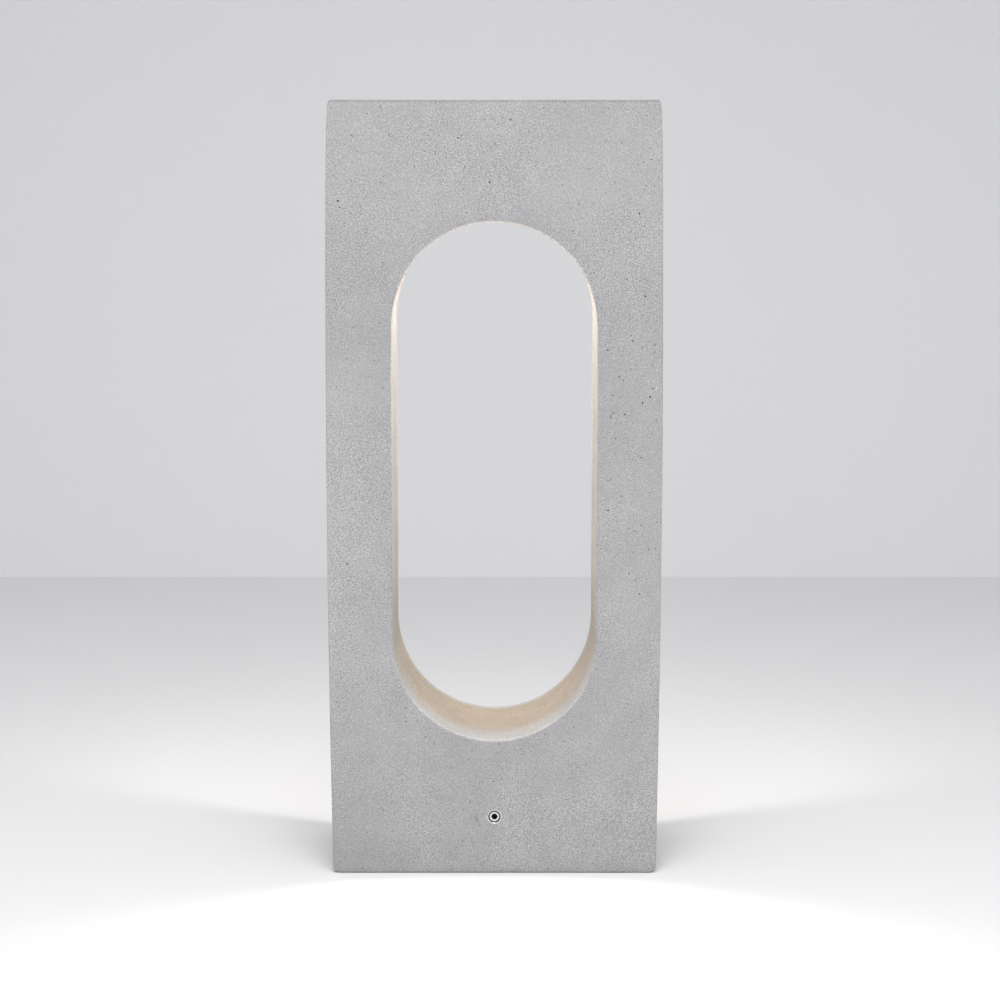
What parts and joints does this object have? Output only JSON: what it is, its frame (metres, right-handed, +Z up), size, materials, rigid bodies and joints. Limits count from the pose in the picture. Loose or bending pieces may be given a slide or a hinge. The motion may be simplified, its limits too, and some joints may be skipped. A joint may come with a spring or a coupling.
{
  "type": "concrete garden lantern",
  "caption": "Upright cast-concrete garden light with a stadium-shaped tunnel lit from its crown, dropped over a ground bracket and clamped by set screws.",
  "frame": {"origin": "middle of the footprint, on the ground", "axes": "+Z up, front face towards -Y, +X to the right seen from the front"},
  "size_m": [0.1728, 0.09, 0.4],
  "materials": {
    "concrete": "fair-faced cast concrete, light grey, fine sand speckle and small air holes",
    "stainless": "plain stainless, satin",
    "brass": "turned brass, dull",
    "gland_nickel": "nickel-plated brass",
    "rubber": "black EPDM, matt",
    "case_plastic": "moulded polycarbonate, fine texture",
    "conduit_plastic": "drawn tube, matt",
    "lead_jacket": "silicone jacket, matt",
    "circuit_board": "green solder mask",
    "led_board_white": "white solder mask",
    "ferrite": "sintered ferrite, matt",
    "capacitor_can": "sleeved can",
    "cast_aluminium": "die-cast, bead-blasted",
    "bezel_aluminium": "powder-coated grey, fine texture",
    "opal_diffuser": "opal polycarbonate, lit warm white",
    "thermal_silicone": "soft silicone pad",
    "led_phosphor": "warm white phosphor"
  },
  "bodies": {
    "ground_bracket": {"ground_bracket": "stainless", "cable_grommet": "rubber", "earth_washer": "brass", "earth_screw": "brass"},
    "lantern": {"concrete_body": "concrete", "sleeve_front": "stainless", "sleeve_rear": "stainless", "driver_case": "case_plastic", "driver_cover": "case_plastic", "cover_screws": "stainless", "driver_board": "circuit_board", "transformer": "ferrite", "capacitors": "capacitor_can", "terminal_blocks": "case_plastic", "driver_inserts": "brass", "driver_screws": "stainless", "input_gland_body": "gland_nickel", "input_gland_seal": "rubber", "input_gland_cap": "gland_nickel", "input_gland_locknut": "brass", "conduit": "conduit_plastic", "led_lead": "lead_jacket", "output_grommet": "rubber", "lead_grommet": "rubber", "led_housing": "cast_aluminium", "bezel": "bezel_aluminium", "bezel_screws": "stainless", "diffuser": "opal_diffuser", "diffuser_gasket": "rubber", "thermal_pad": "thermal_silicone", "led_board": "led_board_white", "board_screws": "stainless", "board_connector": "led_board_white", "led_chips": "led_phosphor", "housing_inserts": "brass", "housing_screws": "stainless"},
    "set_screw_front": {"set_screw_front": "stainless"},
    "set_screw_rear": {"set_screw_rear": "stainless"}
  },
  "joints": [
    {"name": "lantern_lift", "type": "slide", "parent": "ground_bracket", "child": "lantern", "axis": [0, 0, 1], "range_m": [0, 0.06]},
    {"name": "set_screw_front_out", "type": "slide", "parent": "lantern", "child": "set_screw_front", "axis": [0, -1, 0], "range_m": [0, 0.01]},
    {"name": "set_screw_rear_out", "type": "slide", "parent": "lantern", "child": "set_screw_rear", "axis": [0, 1, 0], "range_m": [0, 0.01]}
  ]
}
